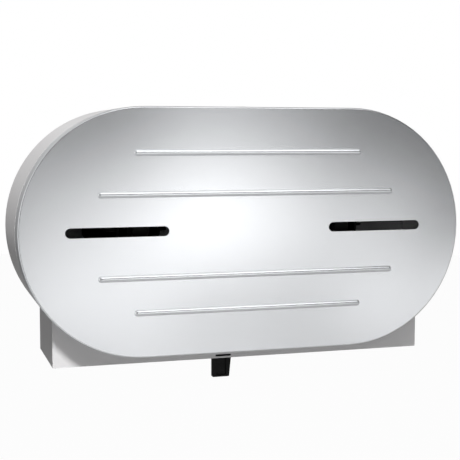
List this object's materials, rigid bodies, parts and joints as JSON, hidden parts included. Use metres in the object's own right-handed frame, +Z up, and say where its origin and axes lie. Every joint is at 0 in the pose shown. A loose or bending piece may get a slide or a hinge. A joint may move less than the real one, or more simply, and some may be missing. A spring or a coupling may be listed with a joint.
{
  "type": "jumbo roll toilet paper dispenser",
  "caption": "Wall-mounted satin steel dispenser for twin jumbo rolls: round-ended drop-down door with pressed beads and viewing slots, finned hubs, sliding shutter, top lock.",
  "frame": {"origin": "middle of the wall face, level with the two spindles", "axes": "+X along the long side, to the right as seen from the front; +Y into the wall; +Z up; the front looks along -Y"},
  "size_m": [0.527, 0.1424, 0.3176],
  "materials": {
    "satin_steel": "satin, fine straight grain",
    "plain_steel": "plain mill finish",
    "bright_steel": "bright, ground",
    "black_plastic": "fine matte moulded",
    "nickel": "nickel plated"
  },
  "bodies": {
    "housing": {"back_plate": "plain_steel", "housing_band": "satin_steel", "front_frame": "satin_steel", "front_shutter_rail": "plain_steel", "rear_shutter_rail": "plain_steel", "left_tear_bar": "bright_steel", "right_tear_bar": "bright_steel", "left_spindle_post": "plain_steel", "right_spindle_post": "plain_steel", "left_hub_washer": "black_plastic", "right_hub_washer": "black_plastic", "left_spindle_cap": "black_plastic", "right_spindle_cap": "black_plastic", "hinge_frame_leaf": "plain_steel", "hinge_pin": "plain_steel", "lock_barrel": "nickel", "lock_nut": "nickel"},
    "door": {"door_pan": "satin_steel", "hinge_door_leaf": "plain_steel", "lock_keeper": "plain_steel"},
    "left_hub": {"left_hub": "black_plastic"},
    "right_hub": {"right_hub": "black_plastic"},
    "shutter": {"shutter_plate": "satin_steel", "shutter_tab": "black_plastic"},
    "lock": {"lock_plug": "nickel", "lock_cam": "plain_steel", "cam_screw": "nickel"}
  },
  "joints": [
    {"name": "door_hinge", "type": "hinge", "parent": "housing", "child": "door", "pos_m": [0, -0.1154, -0.1424], "axis": [1, 0, 0], "range_deg": [0, 110]},
    {"name": "left_hub_spin", "type": "hinge", "parent": "housing", "child": "left_hub", "pos_m": [-0.123, -0.05, 0], "axis": [0, 1, 0], "continuous": true},
    {"name": "right_hub_spin", "type": "hinge", "parent": "housing", "child": "right_hub", "pos_m": [0.123, -0.05, 0], "axis": [0, 1, 0], "continuous": true},
    {"name": "shutter_slide", "type": "slide", "parent": "housing", "child": "shutter", "axis": [1, 0, 0], "range_m": [0, 0.2325]},
    {"name": "lock_turn", "type": "hinge", "parent": "housing", "child": "lock", "pos_m": [0, -0.0942, 0.13], "axis": [0, 0, 1], "range_deg": [0, 90]}
  ]
}
